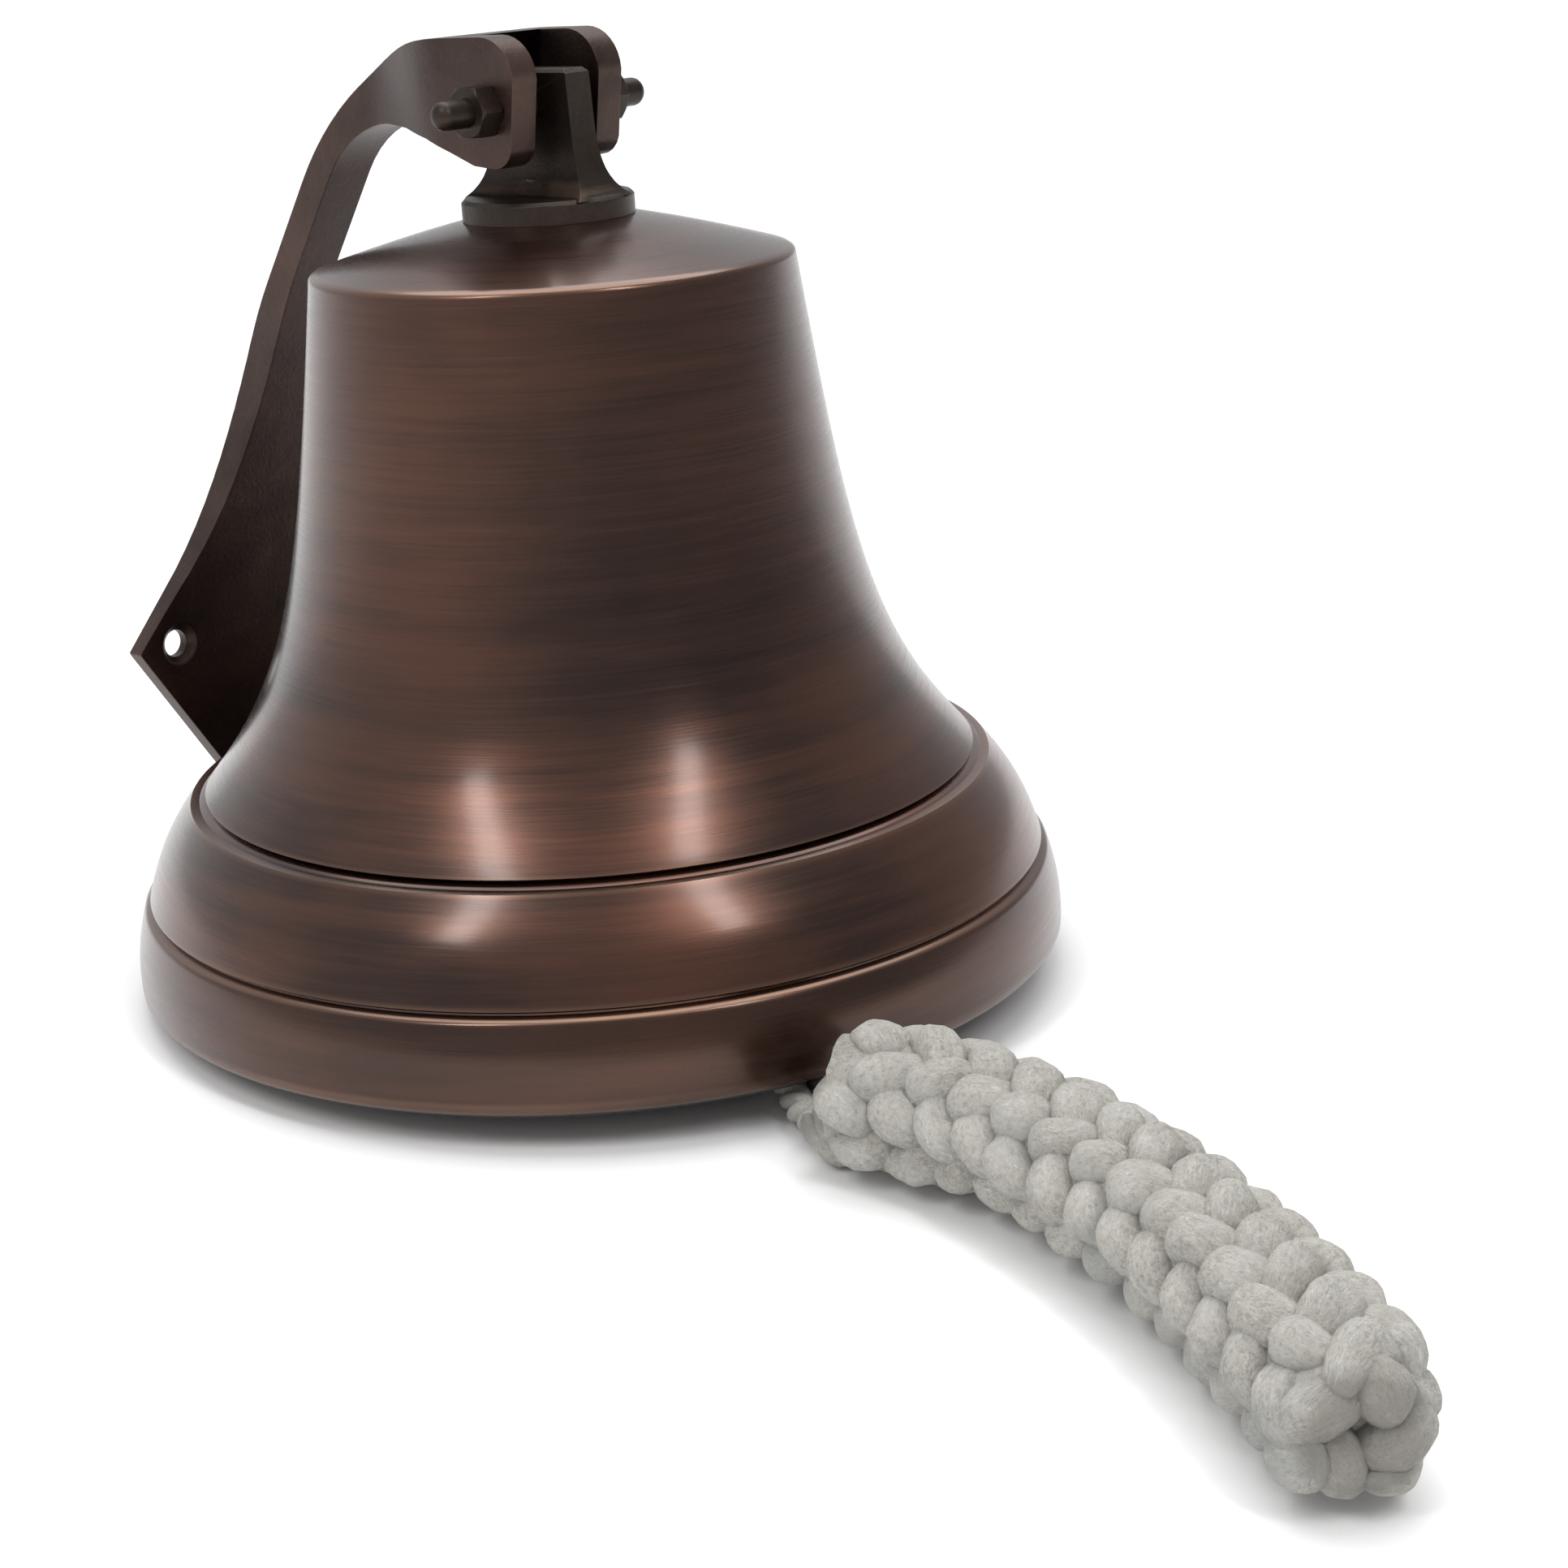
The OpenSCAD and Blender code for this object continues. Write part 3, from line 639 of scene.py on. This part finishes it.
def bell_profile():
    """(r, z, wear) from the inside of the lip, up the outside, over the crown and down the inside."""
    out = [(in_r(0) + LIP_EDGE, 0, 0.4), (LIP_OUT_R - 0.3, 0, 0.5), (LIP_OUT_R + 0.2, 0.15, 0.8)]
    out += [(RIM_R - 0.7, 2.45, 0.7), (RIM_R - 0.25, 2.9, 0.9)]
    for z in np.arange(3.6, LOW_GROOVE_Z - 1.2, 0.9):
        out.append((band_r(z), z, 0.12 if z > 5 else 0.5))
    z = LOW_GROOVE_Z - 0.9
    out += [(band_r(z) - 0.05, z - 0.2, 0.85), (band_r(z) - 0.4, z + 0.1, 0.9)]
    r = band_r(LOW_GROOVE_Z) - GROOVE_DEPTH
    out += [(r, LOW_GROOVE_Z - 0.15, 0.0), (r, LOW_GROOVE_Z + 0.25, 0.0)]
    r, z = mid_band(0)
    out += [(r - 0.3, z - 0.2, 0.6)]
    for t in np.linspace(0, 1, 22):
        r, z = mid_band(t)
        out.append((r, z, 0.9 if t < 0.03 or t > 0.97 else 0.05))
    out += [(MID_HIGH_R - 2.0, HIGH_GROOVE_Z - 0.55, 0.0), (MID_HIGH_R - 2.3, HIGH_GROOVE_Z - 0.3, 0.0)]
    r = waist_r(HIGH_GROOVE_Z + 1)
    out += [(r - 1.35, HIGH_GROOVE_Z + 0.2, 0.0), (r - 0.35, HIGH_GROOVE_Z + 0.75, 0.9)]
    out += [(r, HIGH_GROOVE_Z + 1.1, 0.8)]
    for z in np.linspace(HIGH_GROOVE_Z + 1.8, SHOULDER_Z - 1.2, 76):
        out.append((waist_r(z), z, 0.05))
    out += [(waist_r(SHOULDER_Z - 0.6), SHOULDER_Z - 0.7, 0.6), (SHOULDER_R - 0.12, SHOULDER_Z - 0.25, 1.0)]
    out += [(SHOULDER_R - 0.5, SHOULDER_Z, 1.0), (SHOULDER_R - 1.0, dome_z(SHOULDER_R - 1.0), 0.6)]
    for r in np.linspace(SHOULDER_R - 2.0, SEAT_R + 0.5, 24):
        out.append((r, dome_z(r), 0.05))
    roof = CROWN_Z - WALL_T - 1
    out += [(SEAT_R, CROWN_Z, 0.1), (CROWN_HOLE_R, CROWN_Z, 0.1), (CROWN_HOLE_R, roof, 0.1), (20, roof, 0.1)]
    out += [(30, roof - 1.2, 0.1), (40, IN_TOP_Z + 3.2, 0.1), (44.5, IN_TOP_Z + 1.8, 0.1)]
    for z in np.linspace(IN_TOP_Z, 1.2, 60):
        out.append((in_r(z), z, 0.0))
    return out


def make_bell():
    """The profile turned round the bell's axis, then leant back."""
    profile = bell_profile()
    verts, wear = [], []
    for r, z, w in profile:
        for k in range(BELL_SIDES):
            a = 2 * math.pi * k / BELL_SIDES
            verts.append((r * math.cos(a), r * math.sin(a), z))
            wear.append(w)
    faces = ring_faces(len(profile), BELL_SIDES, closed=True)
    obj = mesh_object("bell_turned", verts, faces, sharp_deg=SHARP_DEG)
    obj.data.transform(bell_frame())
    obj.data.flip_normals()
    set_float(obj.data, "wear", wear)
    obj.data.materials.append(SPUN)
    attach(obj, "bell")
    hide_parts("bell_shell")


make_bell()

# --- Castings, hinge and clapper: softened copies of the solid nodes ------------------------------


WELD_GAP = 0.08
FLAT_DEG = 0.6
BEVEL_DEG = 30


def apply_modifiers(obj):
    """Puts the modifiers' result into the object's mesh and takes the modifiers away."""
    graph = bpy.context.evaluated_depsgraph_get()
    obj_mesh = bpy.data.meshes.new_from_object(obj.evaluated_get(graph))
    obj.modifiers.clear()
    obj.data = obj_mesh


def soften(node, name, material, body, edge):
    """A copy of a CAD node with its edges rounded by `edge` millimetres."""
    mesh = frame["nodes"][node].data.copy()
    mesh.name = name
    if mesh.has_custom_normals:
        mesh.attributes.remove(mesh.attributes["custom_normal"])
    mesh.materials.clear()
    obj = bpy.data.objects.new(name, mesh)
    scene.collection.objects.link(obj)
    weld = obj.modifiers.new("weld", "WELD")
    weld.merge_threshold = WELD_GAP * MM
    flat = obj.modifiers.new("flat", "DECIMATE")
    flat.decimate_type = "DISSOLVE"
    flat.angle_limit = math.radians(FLAT_DEG)
    bevel = obj.modifiers.new("bevel", "BEVEL")
    bevel.width = edge * MM
    bevel.segments = 2
    bevel.limit_method = "ANGLE"
    bevel.angle_limit = math.radians(BEVEL_DEG)
    apply_modifiers(obj)
    obj.data.shade_smooth()
    obj.data.set_sharp_from_angle(angle=math.radians(SHARP_DEG))
    weighted = obj.modifiers.new("weighted", "WEIGHTED_NORMAL")
    weighted.keep_sharp = True
    apply_modifiers(obj)
    obj.data.materials.clear()
    obj.data.materials.append(material)
    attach(obj, body)
    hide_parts(node)


soften("hanger_casting", "hanger", DARK_BRONZE, "bell", 0.6)
soften("bracket", "bracket_casting", BRACKET_COPPER, "bracket_arm", 0.6)
soften("hinge_stud", "hinge_pin", DARK_BRONZE, "bracket_arm", 0.2)
soften("hinge_nut_left", "nut_left", DARK_BRONZE, "bracket_arm", 0.25)
soften("hinge_nut_right", "nut_right", DARK_BRONZE, "bracket_arm", 0.25)
# Painted shade: the stud takes the dark bronze rather than brass, so that its tip down in the hanger's
# hollow stays dark.
soften("crown_stud", "stud", DARK_BRONZE, "bell", 0.3)
soften("crown_washer", "washer", CLAPPER_BRASS, "bell", 0.2)
soften("crown_nut", "nut_crown", CLAPPER_BRASS, "bell", 0.4)
soften("clapper_link", "link", CLAPPER_BRASS, "link", 0.4)
soften("link_pin", "pin_upper", CLAPPER_BRASS, "link", 0.2)
soften("clapper_pin", "pin_lower", CLAPPER_BRASS, "clapper", 0.2)
soften("clapper_rod", "rod", CLAPPER_BRASS, "clapper", 0.4)
soften("clapper_ball", "ball", CLAPPER_BRASS, "clapper", 0.5)
soften("clapper_eye", "tail_eye", CLAPPER_BRASS, "clapper", 0.2)
sennit.data.materials.append(COTTON)
loop.data.materials.append(COTTON)

# --- Floor and light ------------------------------------------------------------------------------


# The room is brighter behind the bell than in front of it and to its right.
BRIGHT_WAY = (-0.35, 0.93, 0.10)
ROOM_DIM, ROOM_BRIGHT = 0.36, 0.78
SKY_POWER = 2.1
SKY_SPREAD_DEG = 60
SKY_TURN_DEG = (-14, 16, 0)
SOFTBOX_SIZE = (0.17, 0.6)
SOFTBOX_POWER = 4.5
SOFTBOX_AIM = (0, 0, 0.06)


def make_floor():
    """A plain pale surface, wide enough to reach past every view."""
    size = 30.0
    corners = [(-size, -size, 0), (size, -size, 0), (size, size, 0), (-size, size, 0)]
    floor = mesh_object("floor", corners, [(0, 1, 2, 3)], smooth=False)
    floor.data.materials.append(floor_white())


def softbox(name, place):
    """A narrow upright area light, aimed at the bell's flare."""
    data = bpy.data.lights.new(name, "AREA")
    data.energy = SOFTBOX_POWER
    data.shape = "RECTANGLE"
    data.size, data.size_y = SOFTBOX_SIZE
    light = bpy.data.objects.new(name, data)
    light.location = place
    light.rotation_euler = (Vector(SOFTBOX_AIM) - Vector(place)).to_track_quat("-Z", "Y").to_euler()
    scene.collection.objects.link(light)


def make_light():
    """A white room, one broad light from above and two narrow softboxes."""
    world = bpy.data.worlds.new("studio")
    scene.world = world
    world.use_nodes = True
    tree = world.node_tree
    back = tree.nodes["Background"]
    back.inputs["Color"].default_value = (0.97, 0.98, 1.0, 1)
    look = tree.nodes.new("ShaderNodeTexCoord")
    dot = tree.nodes.new("ShaderNodeVectorMath")
    dot.operation = "DOT_PRODUCT"
    dot.inputs[1].default_value = BRIGHT_WAY
    spread = tree.nodes.new("ShaderNodeMapRange")
    spread.inputs["From Min"].default_value = -1.0
    spread.inputs["To Min"].default_value = ROOM_DIM
    spread.inputs["To Max"].default_value = ROOM_BRIGHT
    tree.links.new(look.outputs["Generated"], dot.inputs[0])
    tree.links.new(dot.outputs["Value"], spread.inputs["Value"])
    tree.links.new(spread.outputs["Result"], back.inputs["Strength"])
    sun = bpy.data.lights.new("sky", "SUN")
    sun.energy = SKY_POWER
    sun.angle = math.radians(SKY_SPREAD_DEG)
    sky = bpy.data.objects.new("sky", sun)
    sky.rotation_euler = [math.radians(a) for a in SKY_TURN_DEG]
    scene.collection.objects.link(sky)
    softbox("front_left", (-0.95, -0.03, 1.1))
    softbox("front_right", (-0.15, -0.94, 1.1))


make_floor()
make_light()
